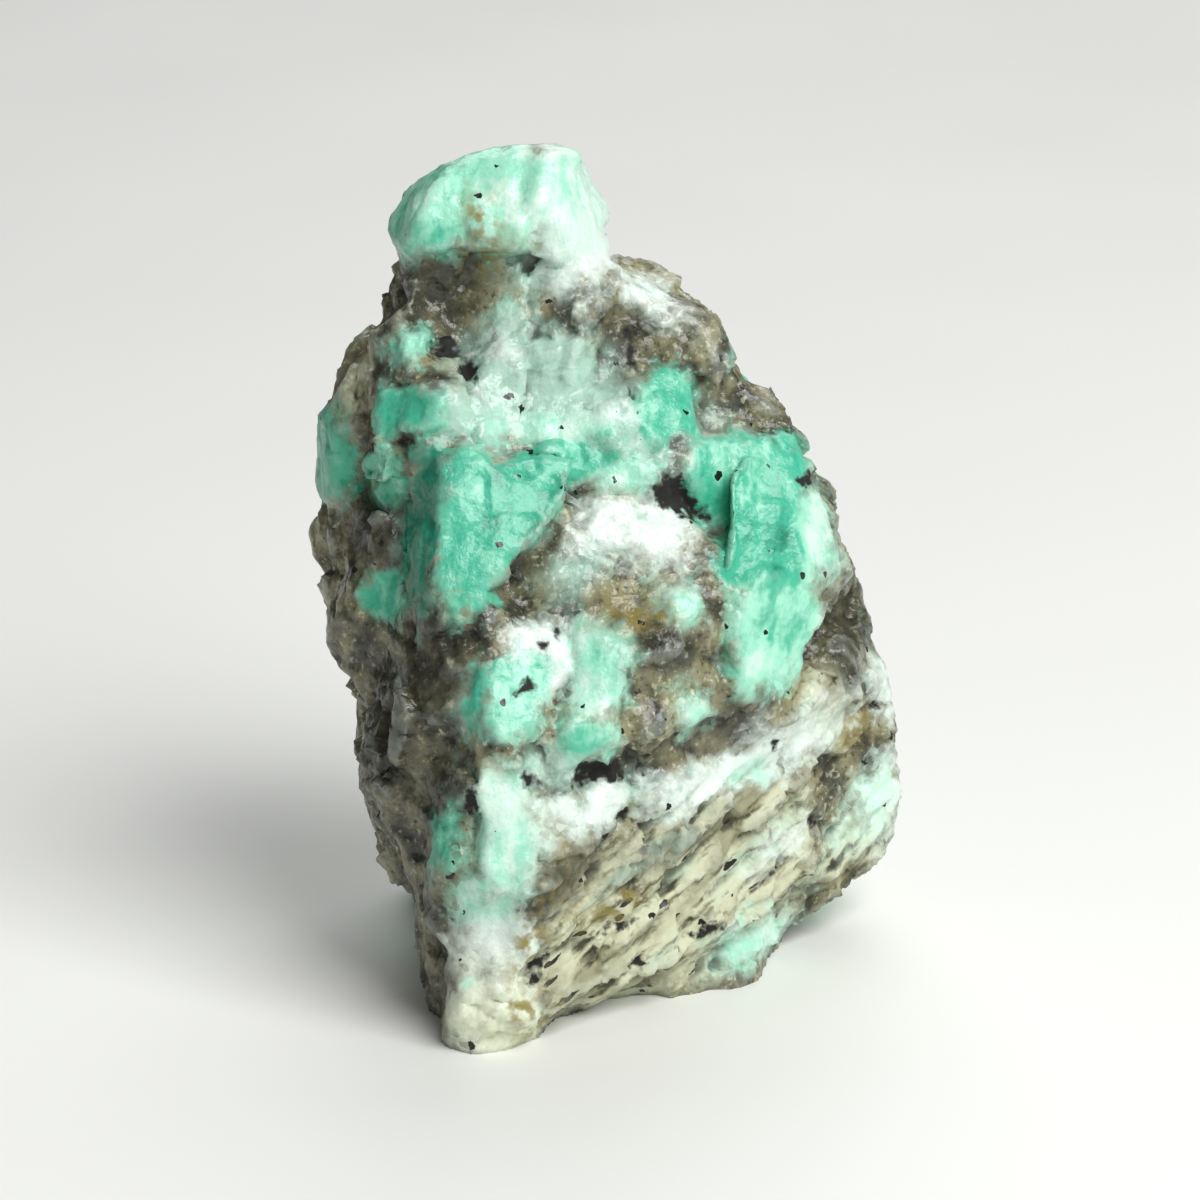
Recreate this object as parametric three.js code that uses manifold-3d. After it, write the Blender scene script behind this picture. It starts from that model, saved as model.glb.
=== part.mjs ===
// Rough amazonite: one broken lump of green feldspar, white albite and smoky quartz.
// Millimetres, +Z up. The lump stands on a small flat spot, and its best side faces -Y.

import * as THREE from "three";
import { ConvexGeometry } from "three/addons/geometries/ConvexGeometry.js";
import { ImprovedNoise } from "three/addons/math/ImprovedNoise.js";
import { TessellateModifier } from "three/addons/modifiers/TessellateModifier.js";
import { mergeVertices } from "three/addons/utils/BufferGeometryUtils.js";
import Module from "manifold-3d";

// Driving dimensions: heights above the table
const TOWER_TOP = 56.5;
const NECK = 47.5;
const SHOULDER = 38;
const CREST = 15.5;
const HAUNCH = 9;

// Driving dimensions: how far the main forms reach from the middle, across and in depth
const PROW_X = -7.2;
const PROW_Y = -18;
const SHOULDER_X = -20.5;
const PLATE_X = 16;
const HAUNCH_X = 21.5;
const BACK_Y = 17;
const BACK_LEAN = 0.12;

// Surface of the breaks: edge length of the facets, and the size and depth of the lumps
const FACET = 1.95;
const SHORTEST_SHARE = 0.4;
const EVEN_PASSES = 2;
const BODY_WEAR = 0.16;
const CRYSTAL_WEAR = 0.05;
const SHARPEST = 0.45;
const LUMP = { size: 9, depth: 0.9 };
const KNOB = { size: 3.4, depth: 0.45 };
const GRAIN = { size: 6, tilt: 0.85, ramp: 0.25 };
const LAYER = { along: 10, across: 2.9, depth: 1.4 };

// The flat spot is cut this far above the lowest corners
const UNDERCUT = 2.5;
const GREEN = 0x6fae9c;

const noise = new ImprovedNoise();
const wasm = await Module();
wasm.setup();

// Closed solids from three.js geometry, and back
function solid(geometry) {
  const bare = new THREE.BufferGeometry();
  bare.setAttribute("position", geometry.getAttribute("position"));
  if (geometry.index) bare.setIndex(geometry.index);
  const merged = mergeVertices(bare, 1e-4);
  return new wasm.Manifold(
    new wasm.Mesh({
      numProp: 3,
      vertProperties: new Float32Array(merged.getAttribute("position").array),
      triVerts: new Uint32Array(merged.index.array),
    }),
  );
}

function geometryOf(manifold) {
  const mesh = manifold.getMesh();
  const geometry = new THREE.BufferGeometry();
  geometry.setAttribute("position", new THREE.BufferAttribute(mesh.vertProperties, 3));
  geometry.setIndex(new THREE.BufferAttribute(mesh.triVerts, 1));
  return geometry;
}

// One convex broken mass from its corners, turned about the upright axis where asked
function mass(corners, turn = 0) {
  const geometry = new ConvexGeometry(corners.map((corner) => new THREE.Vector3(...corner)));
  geometry.rotateZ(THREE.MathUtils.degToRad(turn));
  return solid(geometry);
}

// The back is one leaning break: its depth at a height
function back(height) {
  return BACK_Y - BACK_LEAN * height;
}

// The main break: feet, prow, layered face, haunch, leaning main face, shoulder and back
function mainMass() {
  const feet = [
    [PROW_X - 2.4, PROW_Y + 2, -UNDERCUT],
    [PROW_X + 0.2, PROW_Y, -UNDERCUT],
    [PROW_X + 2.6, PROW_Y + 1.4, -UNDERCUT],
    [8.6, -6.4, -UNDERCUT],
    [9, back(0) - 2, -UNDERCUT],
    [-11.4, back(0) - 3, -UNDERCUT],
    [-10.3, -9, -UNDERCUT],
  ];
  const prow = [
    [PROW_X - 2, PROW_Y + 0.2, 4],
    [PROW_X + 2.6, PROW_Y + 0.2, 5],
    [PROW_X - 1.1, PROW_Y, CREST - 2.3],
    [PROW_X + 2.9, PROW_Y + 0.2, CREST - 2.5],
    [PROW_X - 0.6, PROW_Y + 1, CREST + 2.6],
  ];
  const crest = [
    [PROW_X + 3.7, PROW_Y + 1.2, CREST - 0.4],
    [2.1, -13, CREST - 0.7],
    [9.5, -6, CREST + 0.6],
    [HAUNCH_X - 2, 6, HAUNCH + 9.7],
  ];
  const haunch = [
    [HAUNCH_X, 8, HAUNCH + 0.4],
    [HAUNCH_X - 1.8, 7, HAUNCH - 3.8],
    [14.2, 2.4, 0.4],
    [15, back(4) - 1, 4],
    [HAUNCH_X - 4, back(14), 14],
  ];
  const face = [
    [PROW_X - 2.4, -4.2, 40],
    [PROW_X - 3.2, -6, 36.8],
    [PROW_X - 3.2, -8.6, 30],
    [PROW_X + 0.3, -14, CREST + 5],
    [1, -13.4, CREST + 4.6],
    [5, -9.6, 26.6],
    [-2.1, -7.4, 33.4],
    [-13.8, -0.8, NECK - 1],
    [1.4, 2, NECK + 0.8],
  ];
  const plateEdge = [
    [PLATE_X - 9.7, 1.8, 44.2],
    [PLATE_X - 6.5, 1.4, 41.6],
    [PLATE_X - 3.4, 1.2, 37.8],
    [PLATE_X - 1.7, 0.4, 34.8],
    [PLATE_X + 0.2, -1, 29.3],
    [PLATE_X - 1.4, -3, 25.2],
    [PLATE_X - 3.6, -5, 21.8],
  ];
  const shoulder = [
    [-15, 0.2, SHOULDER + 5.2],
    [SHOULDER_X + 2.2, 3.6, SHOULDER + 2],
    [SHOULDER_X + 0.8, 3.8, SHOULDER - 0.2],
    [SHOULDER_X, 3, SHOULDER - 3],
    [SHOULDER_X - 0.1, 3, SHOULDER - 5.8],
    [SHOULDER_X + 2, 3.4, SHOULDER - 10],
  ];
  const flank = [
    [-16.4, 4, 20],
    [-14.2, 3, 13.5],
    [-12.8, 4, 5.5],
  ];
  const rear = [
    [-12.4, back(13), 13],
    [-15.5, back(28), 28],
    [-15, back(38), 38],
    [-12, back(46), 46],
    [3, back(46), 46],
    [10.5, back(37), 37],
    [14, back(26), 26],
  ];
  return mass([
    ...feet, ...prow, ...crest, ...haunch, ...face, ...plateEdge, ...shoulder, ...flank, ...rear,
  ]);
}

// The neck of smoky quartz and the pale block on top of it, which overhangs the neck on its right
const TOWER_LEFT = -13.2;
const TOWER_RIGHT = 0.6;

function neck() {
  return mass([
    [TOWER_LEFT + 0.2, 2.4, TOWER_TOP - 4],
    [TOWER_RIGHT - 1.6, 4.4, TOWER_TOP - 3],
    [TOWER_LEFT - 0.2, 0.2, NECK + 2],
    [TOWER_RIGHT - 0.4, 2.8, NECK + 1],
    [TOWER_LEFT - 0.6, -1.4, NECK - 3],
    [TOWER_RIGHT, 1, NECK - 3],
    [TOWER_LEFT + 3, 2, NECK - 10],
    [TOWER_RIGHT - 3, 2, NECK - 10],
    [TOWER_LEFT + 1, back(52), TOWER_TOP - 5],
    [TOWER_RIGHT - 2.4, back(52), TOWER_TOP - 4],
    [TOWER_LEFT + 1, back(40), NECK - 8],
    [TOWER_RIGHT, back(40), NECK - 8],
  ]);
}

function tower() {
  return mass([
    [TOWER_LEFT, 2, TOWER_TOP - 2.8],
    [TOWER_LEFT + 3, 2.8, TOWER_TOP - 1.7],
    [TOWER_LEFT + 6.4, 3, TOWER_TOP - 0.9],
    [TOWER_RIGHT - 4.2, 4, TOWER_TOP],
    [TOWER_RIGHT - 1.5, 4.4, TOWER_TOP - 0.7],
    [TOWER_RIGHT, 2, NECK + 1.5],
    [TOWER_RIGHT - 3.2, 0.2, NECK + 1.3],
    [TOWER_LEFT - 0.1, 0.9, NECK + 2.8],
    [TOWER_LEFT + 6, 0.2, NECK + 2.5],
    [TOWER_LEFT + 1, back(53) - 0.5, TOWER_TOP - 5],
    [TOWER_LEFT + 5, back(54) - 3, TOWER_TOP - 1.6],
    [TOWER_RIGHT - 2.4, back(53) - 1, TOWER_TOP - 2],
    [TOWER_RIGHT - 0.6, back(49) - 2, NECK + 2],
    [TOWER_LEFT + 1, back(50) - 1, NECK + 3],
  ]);
}

// Feldspar crystals broken along flat faces: blocks with a free left side and lower end. The flare is
// how much further to the right the top reaches than the bottom
function crystalBlock({ turn, left, right, front, top, bottom, lean, flare = 0.6 }) {
  const depth = 7;
  const side = 1.6;
  const corners = [
    [left, front + lean, top],
    [left, front, bottom],
    [right, front + 1.2, bottom + 0.9],
    [right + flare, front + lean + 1.6, top - 0.6],
    [left - side, front + lean + 3.6, top],
    [left - side, front + 4, bottom - 0.3],
    [left + side, front + lean + depth, top - 1],
    [left + side, front + depth, bottom + 0.6],
    [right - side, front + lean + depth, top - 1],
    [right - side, front + depth, bottom + 1],
  ];
  return mass(corners, turn);
}

const FRONT = 0;
const LEFT_SIDE = -90;
const RIGHT_SIDE = 90;
const REAR = 180;
const CRYSTALS = [
  { turn: FRONT, left: -10.9, right: -6.6, front: -12.6, top: 37.8, bottom: 28.9, lean: 5, flare: 6 },
  { turn: FRONT, left: -7.6, right: -3.4, front: -17, top: 25.2, bottom: 20.4, lean: 2.8 },
  { turn: FRONT, left: -14.6, right: -11.6, front: -6.4, top: 42, bottom: 35.4, lean: 3 },
  { turn: FRONT, left: 0, right: 4.4, front: -14.2, top: 26.6, bottom: 19.4, lean: 4.4 },
  { turn: LEFT_SIDE, left: -12, right: -4, front: -18.2, top: 33, bottom: 22, lean: -0.6 },
  { turn: REAR, left: -11, right: -3, front: -15.4, top: 33, bottom: 20, lean: 1.4 },
  { turn: REAR, left: 4, right: 11, front: -16.4, top: 20, bottom: 9, lean: 1.2 },
  { turn: RIGHT_SIDE, left: 6, right: 12, front: -17, top: 17, bottom: 7, lean: 1.6 },
];

// A slab of feldspar along the right edge of the main face, standing a little proud of it
function edgeSlab() {
  return mass([
    [PLATE_X - 7, -3.8, 36.8],
    [PLATE_X - 7.6, -7.6, 30.6],
    [PLATE_X - 7.6, -9.4, 24.6],
    [PLATE_X - 5.8, -8.6, 21.4],
    [PLATE_X - 3.4, -5.8, 21.6],
    [PLATE_X - 1, -3.6, 25],
    [PLATE_X + 0.5, -1.8, 29.4],
    [PLATE_X - 1.4, -0.4, 34.8],
    [PLATE_X - 6, 4, 34],
    [PLATE_X - 5, 2, 24],
  ]);
}

// A worn nub under the layered face, one of the places the lump rests on
function nub() {
  const geometry = new THREE.IcosahedronGeometry(2.6, 2);
  geometry.translate(8.2, -5.4, 0.6);
  return solid(geometry);
}

// Hollows broken out of the lump: under the layered face, and under the edge of the main face
function archUnderLayers() {
  return mass([
    [-4.4, -19.5, -4],
    [-3.6, -18.5, 1.2],
    [1.6, -14.5, 3.8],
    [5.4, -10.5, 2],
    [7, -9.5, -4],
    [-3.4, -9, -4],
    [1, -6, -4],
    [-1, -9, 1],
  ]);
}

function hollowUnderPlate() {
  return mass([
    [PLATE_X - 1.6, -4.6, 21.4],
    [PLATE_X + 4, -3, 29.4],
    [PLATE_X + 8, 4, 29],
    [PLATE_X + 10, 8, 20.4],
    [PLATE_X + 2, -5, 19.2],
    [PLATE_X, 6, 28.4],
    [PLATE_X - 2.2, 0.4, 24.4],
    [PLATE_X - 3.4, -3, 21.4],
    [PLATE_X + 1, 9, 22.4],
  ]);
}

// A crack down the left side of the largest crystal
function crack() {
  return mass([
    [-12.2, -8, 37],
    [-13.4, -7, 37],
    [-12.4, -9.5, 28],
    [-13.4, -8.5, 28],
    [-11.8, -2.4, 36],
    [-11.8, -4.6, 29],
  ]);
}

// Small pits and large shell-shaped breaks, both cut by rounded bodies
function scoop([x, y, z], [rx, ry, rz], detail) {
  const geometry = new THREE.IcosahedronGeometry(1, detail);
  geometry.scale(rx, ry, rz);
  geometry.translate(x, y, z);
  return solid(geometry);
}

const PITS = [
  [[5.2, -6.4, 34.2], [1.4, 2, 1.8]],
  [[-9.6, -3.4, 43.6], [1.8, 1.8, 1.4]],
  [[0.4, -14.6, CREST + 2], [2.6, 1.9, 1.4]],
  [[15.2, -0.8, 33.8], [1.2, 1.8, 1]],
  [[-3.2, -17.6, 5.4], [1.5, 1.8, 3]],
];

const SHELL_BREAKS = [
  [[24, 22, 26], [12, 14, 13]],
  [[-6, 27, 30], [11, 14.5, 12]],
  [[-22, 20, 12], [11, 13, 10]],
  [[6, 24, 52], [9, 15, 10]],
];

// Neighbours of every vertex
function neighboursOf(geometry) {
  const neighbours = Array.from({ length: geometry.getAttribute("position").count }, () => new Set());
  const index = geometry.index.array;
  for (let i = 0; i < index.length; i += 3) {
    for (let k = 0; k < 3; k++) {
      const from = index[i + k];
      const to = index[i + ((k + 1) % 3)];
      neighbours[from].add(to);
      neighbours[to].add(from);
    }
  }
  return neighbours;
}

// Splits edges that are too long
function splitLongEdges(geometry, longest) {
  const split = new TessellateModifier(longest, 12).modify(geometry.toNonIndexed());
  return mergeVertices(split, 1e-3);
}

// Joins the two ends of each edge that is too short, where the surface stays closed
function joinShortEdges(geometry, shortest) {
  const position = geometry.getAttribute("position");
  const points = Array.from({ length: position.count }, (_, i) =>
    new THREE.Vector3().fromBufferAttribute(position, i),
  );
  const index = Array.from(geometry.index.array);
  const around = neighboursOf(geometry);
  const facesAt = points.map(() => new Set());
  index.forEach((vertex, corner) => facesAt[vertex].add(Math.floor(corner / 3)));
  const gone = new Set();

  const join = (kept, dropped) => {
    points[kept].lerp(points[dropped], 0.5);
    for (const face of facesAt[dropped]) {
      const corners = index.slice(3 * face, 3 * face + 3);
      if (corners.includes(kept)) {
        gone.add(face);
        corners.forEach((vertex) => facesAt[vertex].delete(face));
      } else {
        index[3 * face + corners.indexOf(dropped)] = kept;
        facesAt[kept].add(face);
      }
    }
    for (const next of around[dropped]) {
      around[next].delete(dropped);
      if (next !== kept) {
        around[next].add(kept);
        around[kept].add(next);
      }
    }
  };

  for (let corner = 0; corner < index.length; corner++) {
    const face = Math.floor(corner / 3);
    if (gone.has(face)) continue;
    const from = index[corner];
    const to = index[3 * face + ((corner + 1) % 3)];
    if (points[from].distanceTo(points[to]) >= shortest) continue;
    const shared = [...around[from]].filter((next) => around[to].has(next));
    if (shared.length === 2) join(from, to);
  }
  const kept = index.filter((_, corner) => !gone.has(Math.floor(corner / 3)));
  const corners = kept.flatMap((vertex) => points[vertex].toArray());
  const joined = new THREE.BufferGeometry();
  joined.setAttribute("position", new THREE.Float32BufferAttribute(corners, 3));
  return mergeVertices(joined, 1e-4);
}

// Worn edges: each vertex moves toward the middle of its neighbours by the share asked for
function wear(geometry, shareAt) {
  const position = geometry.getAttribute("position");
  const point = new THREE.Vector3();
  const moved = neighboursOf(geometry).map((around, i) => {
    const middle = new THREE.Vector3();
    for (const j of around) middle.add(point.fromBufferAttribute(position, j));
    middle.divideScalar(around.size);
    const from = new THREE.Vector3().fromBufferAttribute(position, i);
    return from.lerp(middle, shareAt(from.distanceTo(middle)));
  });
  moved.forEach((to, i) => position.setXYZ(i, to.x, to.y, to.z));
}

function bluntSpikes(geometry) {
  wear(geometry, (reach) => Math.max(0, 1 - SHARPEST / reach));
}

// Even triangles all over, with worn edges
function evenOut(geometry, share) {
  let even = geometry;
  for (let pass = 0; pass < EVEN_PASSES; pass++) {
    even = joinShortEdges(splitLongEdges(even, FACET), FACET * SHORTEST_SHARE);
    wear(even, () => share);
  }
  bluntSpikes(even);
  return even;
}

// A repeatable random number from 0 to 1 for a cell of space
function chance(i, j, k, channel) {
  const mixed = Math.sin(i * 127.1 + j * 311.7 + k * 74.7 + channel * 53.3) * 43758.5453;
  return mixed - Math.floor(mixed);
}

// Crystal grains: space is parted into cells, and each cell breaks along a plane of its own tilt
function grainFacet(point) {
  const here = point.clone().divideScalar(GRAIN.size);
  const base = here.clone().floor();
  const grains = [];
  for (let cell = 0; cell < 27; cell++) {
    const i = base.x + (cell % 3) - 1;
    const j = base.y + (Math.floor(cell / 3) % 3) - 1;
    const k = base.z + Math.floor(cell / 9) - 1;
    const random = (channel) => chance(i, j, k, channel);
    const away = new THREE.Vector3(i + random(0), j + random(1), k + random(2)).sub(here);
    const tilt = new THREE.Vector3(random(3), random(4), random(5)).subScalar(0.5);
    grains.push({ distance: away.length(), height: away.dot(tilt) });
  }
  const [nearest, next] = grains.sort((a, b) => a.distance - b.distance);
  const inside = THREE.MathUtils.smoothstep(next.distance - nearest.distance, -GRAIN.ramp, GRAIN.ramp);
  return GRAIN.size * GRAIN.tilt * THREE.MathUtils.lerp(next.height, nearest.height, inside);
}

// Height of the broken surface at a point: lumps, knobs, grains, and layers on the face that shows them
const LAYERED_FACE = new THREE.Vector3(0.71, -0.7, 0.07).normalize();
const LAYER_RUN = new THREE.Vector3(0.7, 0.57, 0.43).normalize();
const LAYER_RISE = new THREE.Vector3().crossVectors(LAYER_RUN, LAYERED_FACE).normalize();

function relief(point, normal) {
  const lumps = (size) => noise.noise(point.x / size + 3.1, point.y / size + 7.7, point.z / size + 1.9);
  const facing = THREE.MathUtils.smoothstep(normal.dot(LAYERED_FACE), 0.75, 0.95);
  const layered = point.z < CREST + 2 ? facing : 0;
  const run = point.dot(LAYER_RUN) / LAYER.along;
  const rise = point.dot(LAYER_RISE) / LAYER.across;
  const broken = LUMP.depth * lumps(LUMP.size) + KNOB.depth * lumps(KNOB.size);
  const layers = LAYER.depth * noise.noise(run, rise, 4.4);
  return broken + THREE.MathUtils.lerp(grainFacet(point), layers, layered);
}

function roughen(geometry) {
  geometry.computeVertexNormals();
  const position = geometry.getAttribute("position");
  const normals = geometry.getAttribute("normal");
  const point = new THREE.Vector3();
  const normal = new THREE.Vector3();
  for (let i = 0; i < position.count; i++) {
    point.fromBufferAttribute(position, i);
    normal.fromBufferAttribute(normals, i);
    point.addScaledVector(normal, relief(point, normal));
    position.setXYZ(i, point.x, point.y, point.z);
  }
}

// Everything above the table
function aboveTable(manifold) {
  const reach = 200;
  const room = new THREE.BoxGeometry(reach, reach, reach);
  room.translate(0, 0, reach / 2);
  return manifold.intersect(solid(room));
}

// The broken body is roughened first, so the crystals set in it keep their flat faces
function lump() {
  let body = mainMass().add(neck()).subtract(hollowUnderPlate()).subtract(archUnderLayers());
  for (const [place, radii] of SHELL_BREAKS) body = body.subtract(scoop(place, radii, 3));
  const surface = evenOut(geometryOf(body.add(nub())), BODY_WEAR);
  roughen(surface);
  bluntSpikes(surface);

  let whole = solid(surface).add(tower()).add(edgeSlab()).subtract(crack());
  for (const crystal of CRYSTALS) whole = whole.add(crystalBlock(crystal));
  for (const [place, radii] of PITS) whole = whole.subtract(scoop(place, radii, 1));
  const worn = evenOut(geometryOf(whole), CRYSTAL_WEAR);

  const stone = geometryOf(aboveTable(solid(worn)));
  stone.computeBoundingBox();
  const { min, max } = stone.boundingBox;
  stone.translate(-(min.x + max.x) / 2, -(min.y + max.y) / 2, -min.z);
  return stone;
}

const material = new THREE.MeshStandardMaterial({ color: GREEN, roughness: 0.55, metalness: 0 });
const stone = new THREE.Mesh(lump(), material);
stone.name = "amazonite_stone";

const part = new THREE.Group();
part.add(stone);

export default part;
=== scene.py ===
"""Rough amazonite: the broken surface of the stone, its minerals, and a plain studio to show it in."""

import math

import bpy
import numpy as np
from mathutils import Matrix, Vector, noise
from mathutils.bvhtree import BVHTree


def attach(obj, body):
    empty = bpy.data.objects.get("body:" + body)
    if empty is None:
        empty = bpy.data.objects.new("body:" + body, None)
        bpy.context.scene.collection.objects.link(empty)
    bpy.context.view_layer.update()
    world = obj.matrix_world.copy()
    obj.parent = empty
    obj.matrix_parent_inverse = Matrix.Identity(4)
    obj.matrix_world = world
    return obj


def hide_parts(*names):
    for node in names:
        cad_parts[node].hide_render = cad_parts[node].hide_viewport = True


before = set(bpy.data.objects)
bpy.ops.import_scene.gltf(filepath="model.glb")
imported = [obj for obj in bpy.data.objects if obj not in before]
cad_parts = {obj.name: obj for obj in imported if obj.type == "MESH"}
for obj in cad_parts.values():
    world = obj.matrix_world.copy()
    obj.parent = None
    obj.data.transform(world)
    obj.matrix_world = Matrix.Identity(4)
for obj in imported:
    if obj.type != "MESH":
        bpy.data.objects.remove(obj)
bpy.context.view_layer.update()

bl_info = {
    "name": "Rough amazonite",
    "version": (1, 0, 0),
    "blender": (4, 5, 0),
    "location": "3D View > Sidebar > Amazonite",
    "description": "Builds a rough amazonite stone with its mineral grains, and a plain studio",
    "category": "Add Mesh",
}

MM = 0.001
STONE_NODE = "amazonite_stone"

# The viewpoint: how high it looks down from, how far off it is, and the point it looks at
VIEW_ELEVATION = math.radians(18)
VIEW_DISTANCE = 340 * MM
VIEW_TARGET = Vector((-0.6, 1.0, 25.6)) * MM
VIEW_RIGHT = Vector((1, 0, 0))
VIEW_UP = Vector((0, math.sin(VIEW_ELEVATION), math.cos(VIEW_ELEVATION)))
VIEW_AWAY = Vector((0, math.cos(VIEW_ELEVATION), -math.sin(VIEW_ELEVATION)))
VIEW_PLACE = VIEW_TARGET - VIEW_AWAY * VIEW_DISTANCE

# The layered face: the way it looks, the way its layers run, how high it reaches and fades out, and how
# nearly the surface has to look the same way
LAYERED_FACE = Vector((0.71, -0.7, 0.07)).normalized()
LAYER_RUN = Vector((0.7, 0.57, 0.43)).normalized()
LAYERED_TOP = 17.5 * MM
LAYERED_FADE = 2 * MM
LAYERED_TURN = 0.6
LAYERED_TURN_SPAN = 0.3

# The way the cleavage of the green feldspar runs
CLEAVAGE_RUN = (0.1, 0.45, 0.89)

# Mineral grains that show from the front. Each row gives, as the viewer sees it, how far the grain is
# to the right of the view's middle and above it, its half width and half height, and its lean to the
# left, in millimetres and degrees. A green grain has one more number: 0 is pale mint, 1 deep turquoise.
GREEN_GRAINS = (
    (-6.2, 6.9, 4.4, 2.3, 38, 1.1),
    (-9.0, 5.2, 2.2, 5.6, 0, 0.95),
    (-9.9, 4.0, 0.7, 3.6, 0, 0.4),
    # This grain on the main crystal's left side face is deep teal partly as painted shade on that face
    (-12.0, 4.8, 1.6, 5.2, 0, 1.6),
    (-2.2, 9.5, 3.4, 2.0, 10, 1.25),
    (1.8, 8.3, 2.0, 1.3, 0, 0.3),
    (-3.4, 12.0, 3.6, 1.0, 5, 0.15),
    (4.6, 13.1, 2.0, 2.7, 12, 0.9),
    (10.2, 7.9, 4.1, 3.6, 0, 1.0),
    (11.4, 3.4, 3.6, 3.8, 0, 1.05),
    (14.6, 4.6, 1.8, 3.6, 0, 0.15),
    (11.9, -1.4, 3.2, 3.6, -8, 0.6),
    (11.0, -4.8, 2.0, 1.8, 20, 0.4),
    # This grain on the left shoulder is deeper partly as painted shade on that side
    (-18.8, 10.0, 2.2, 3.6, 0, 1.15),
    (-12.9, 13.0, 2.3, 2.2, -8, 0.95),
    (-15.4, 8.4, 1.6, 1.5, 0, 0.9),
    (-14.6, 0.0, 1.7, 1.6, 15, 0.9),
    (-0.4, -4.8, 2.0, 3.0, -6, 0.3),
    (-1.0, -8.7, 1.6, 1.7, 0, 0.8),
    (-5.7, -6.4, 1.9, 3.1, 10, 0.7),
    (-8.2, -6.6, 0.8, 2.0, 0, 1.1),
    (5.5, -0.1, 1.3, 1.6, 25, 0.3),
    (6.3, -7.2, 1.0, 1.1, 30, 0.3),
    (-6.3, -15.8, 2.1, 4.4, 0, 0.05),
    (-7.5, -20.0, 2.0, 1.2, 0, 0.4),
    (-10.3, -16.5, 0.9, 1.8, 0, 0.9),
    (18.2, -13.8, 1.5, 2.2, -15, 0.1),
    (9.9, -11.7, 1.2, 0.8, 20, 0.25),
    (10.5, -22.6, 2.2, 1.3, 25, 0.2),
    (-12.0, 26.8, 3.2, 3.8, 0, 0.55),
    (-6.6, 28.0, 3.8, 3.8, 0, 0.35),
    (-2.4, 27.6, 2.4, 3.6, 0, 0.05),
    (-12.8, 17.8, 1.2, 1.1, 0, 0.6),
    (-5.7, 19.6, 1.0, 0.9, 0, 0.2),
)
WHITE_GRAINS = (
    (-1.4, 26.2, 2.8, 5.0, 0),
    (3.4, 20.8, 3.0, 0.9, -38),
    (-6.2, 17.6, 0.5, 0.7, 0),
    (2.7, 4.8, 4.4, 2.0, 0),
    (-4.7, -3.7, 2.5, 2.4, 0),
    (10.0, -11.0, 7.8, 1.8, 24),
    (-1.1, -14.2, 3.0, 1.4, 10),
    (-6.8, -23.4, 2.7, 3.0, 0),
    (-7.0, -28.4, 3.0, 2.6, 0),
    (18.9, -5.9, 0.9, 2.4, 0),
    (19.4, -13.6, 1.0, 2.8, 0),
    (12.6, -16.6, 2.4, 0.9, 35),
)
MILKY_GRAINS = (
    (-4.4, 15.2, 5.0, 3.6, 0),
    (0.9, 11.4, 4.0, 3.6, 0),
    (-8.2, 12.6, 2.4, 2.4, 0),
    (7.6, 9.0, 1.6, 3.0, 0),
    (-1.6, 1.8, 2.0, 1.4, 30),
    (-4.0, 23.0, 2.2, 1.4, 0),
    (-2.4, -11.0, 1.8, 1.4, 0),
    (1.8, -13.4, 2.0, 1.2, 20),
)
CREAM_GRAINS = (
    (5.9, -20.3, 11.0, 5.7, 30),
    (15.4, -7.2, 2.8, 2.4, 0),
    (17.2, -17.0, 1.8, 2.4, 0),
    (-16.8, 14.7, 1.5, 1.6, 0),
)
# Smoky quartz. The grains on the left flank, from -10 to -16 across, and the one beside the prow at (-3.0,
# -19.5) are laid dark partly as painted shade on those parts
SMOKY_GRAINS_AND_PAINTED_SHADE = (
    (-10.9, 21.3, 3.2, 2.2, 0),
    (-15.2, 4.7, 2.8, 3.2, 0),
    (-12.0, -4.6, 3.4, 4.2, 0),
    (-10.9, -13.5, 1.8, 5.0, 0),
    (-14.6, -9.0, 2.6, 5.0, 0),
    (-10.2, -23.1, 1.3, 4.6, 0),
    (16.4, -2.4, 2.2, 3.4, 0),
    (8.6, -7.9, 1.5, 1.4, 0),
    (1.8, 17.4, 0.9, 2.0, 0),
    (3.8, -2.9, 2.2, 1.4, 0),
    (-3.0, -19.5, 2.4, 1.2, 40),
    (4.2, -17.0, 3.4, 0.7, 32),
)
RUST_GRAINS = (
    (-8.3, 25.4, 1.1, 1.9, 15),
    (17.2, -8.6, 1.6, 1.4, 0),
    (-4.6, -23.6, 0.9, 2.8, -25),
    (-5.0, -28.2, 1.6, 1.2, 0),
    (1.2, -20.8, 2.6, 0.8, 32),
    (3.0, -0.4, 1.6, 1.0, 0),
)
MICA_GRAINS = (
    (0.1, -11.9, 1.8, 0.9, 0),
    (-10.4, 17.2, 1.0, 0.8, 0),
    (-8.5, 15.9, 0.5, 0.7, 0),
    (5.4, 6.6, 1.7, 1.0, -40),
    (-4.5, -12.3, 0.5, 0.5, 0),
    (-4.5, -3.1, 0.35, 0.35, 0),
    (-5.3, -5.8, 0.3, 0.3, 0),
    (-3.1, -2.1, 0.4, 0.4, 0),
    (-8.9, -2.3, 0.35, 0.4, 0),
    (12.3, -9.3, 0.25, 0.5, -20),
    (1.8, -15.1, 0.5, 0.4, 0),
    (3.4, -11.3, 0.4, 0.35, 0),
    (-13.3, 10.1, 0.5, 0.35, 0),
    (-15.6, 10.2, 0.3, 0.25, 0),
    (1.9, 17.6, 0.4, 1.1, 0),
    (13.8, 8.5, 0.5, 0.35, 0),
    (-10.3, -9.6, 0.5, 0.35, 0),
    (-9.0, -14.4, 0.35, 0.4, 0),
    (18.2, -7.2, 0.6, 0.3, 0),
    (-14.3, -4.3, 0.3, 0.6, 0),
    (1.0, -22.6, 0.8, 0.3, 30),
    (2.5, -24.3, 0.6, 0.3, 30),
    (7.2, -22.8, 0.6, 0.3, 30),
    (14.9, -14.5, 0.5, 0.35, 30),
    (-3.4, -25.0, 0.4, 0.9, -30),
)
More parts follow.
